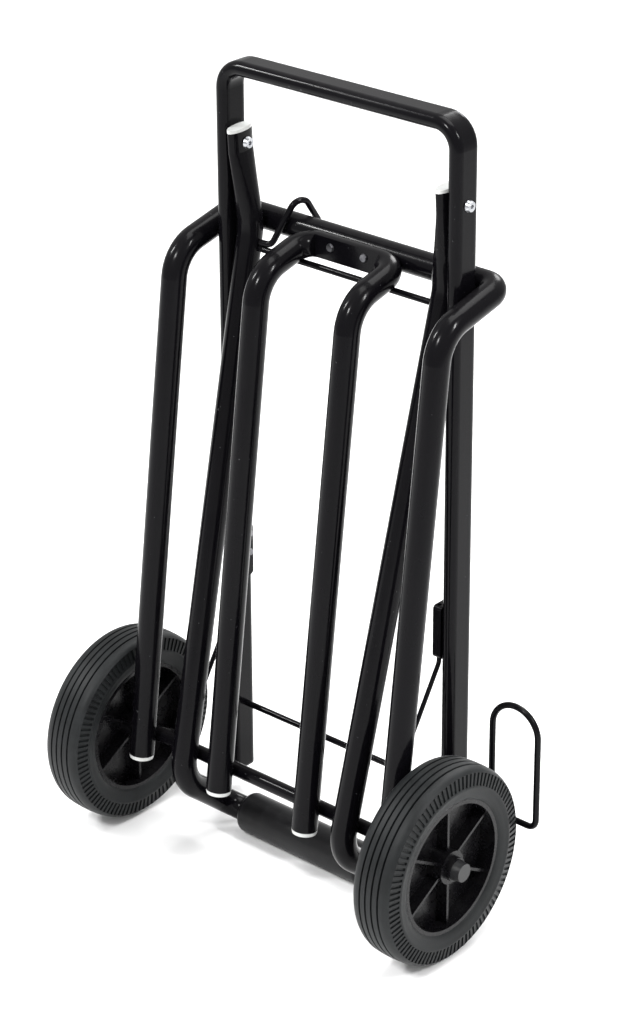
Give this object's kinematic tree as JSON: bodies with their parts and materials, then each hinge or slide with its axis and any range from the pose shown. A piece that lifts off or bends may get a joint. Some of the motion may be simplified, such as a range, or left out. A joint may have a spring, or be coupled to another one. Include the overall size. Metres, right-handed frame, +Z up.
{
  "type": "hand truck",
  "caption": "Two-wheeled bent-tube hand truck with a tine fork latched to its frame, a wire wheel guard, and a sleeved foot bar.",
  "frame": {"origin": "middle of the foot sleeve's flat sole, on the ground", "axes": "+Z up along the uprights, +Y towards the load side, +X to the right seen from the user's side (-Y)"},
  "size_m": [0.6005, 0.3215, 0.9995],
  "materials": {
    "black_gloss_paint": "gloss black paint on steel tube",
    "black_wire": "gloss black paint on steel wire",
    "dark_steel": "dark steel",
    "zinc_steel": "bright zinc",
    "black_plastic": "satin",
    "white_plastic": "semi-gloss",
    "sleeve_rubber": "satin",
    "tyre_rubber": "matte",
    "hub_plastic": "satin",
    "bush_plastic": "satin"
  },
  "bodies": {
    "frame": {"front_frame": "black_gloss_paint", "upright_plugs": "black_plastic", "rear_leg_frame": "black_gloss_paint", "leg_plugs": "white_plastic", "foot_sleeve": "sleeve_rubber", "frame_bolts": "zinc_steel", "frame_nuts": "zinc_steel", "axle": "black_gloss_paint", "wheel_guard": "black_wire", "left_strut": "black_wire", "right_strut": "black_wire", "left_strut_bracket": "black_wire", "right_strut_bracket": "black_wire", "bracket_screws": "dark_steel", "axle_washers": "zinc_steel", "axle_caps": "black_plastic"},
    "fork": {"outer_fork": "black_gloss_paint", "inner_fork": "black_gloss_paint", "fork_rivets": "dark_steel", "tine_plugs": "white_plastic"},
    "latch": {"latch_rod": "black_wire", "latch_hook": "black_wire"},
    "left_wheel": {"left_tyre": "tyre_rubber", "left_hub": "hub_plastic", "left_bush": "bush_plastic"},
    "right_wheel": {"right_tyre": "tyre_rubber", "right_hub": "hub_plastic", "right_bush": "bush_plastic"}
  },
  "joints": [
    {"name": "left_wheel_spin", "type": "hinge", "parent": "frame", "child": "left_wheel", "pos_m": [-0.254, -0.0575, 0.125], "axis": [1, 0, 0], "continuous": true},
    {"name": "right_wheel_spin", "type": "hinge", "parent": "frame", "child": "right_wheel", "pos_m": [0.254, -0.0575, 0.125], "axis": [1, 0, 0], "continuous": true},
    {"name": "fork_swing", "type": "hinge", "parent": "frame", "child": "fork", "pos_m": [0, 0.1067, 0.79], "axis": [-1, 0, 0], "range_deg": [0, 65]},
    {"name": "latch_turn", "type": "hinge", "parent": "frame", "child": "latch", "pos_m": [0, 0.0725, 0.763], "axis": [1, 0, 0], "range_deg": [0, 75]}
  ]
}
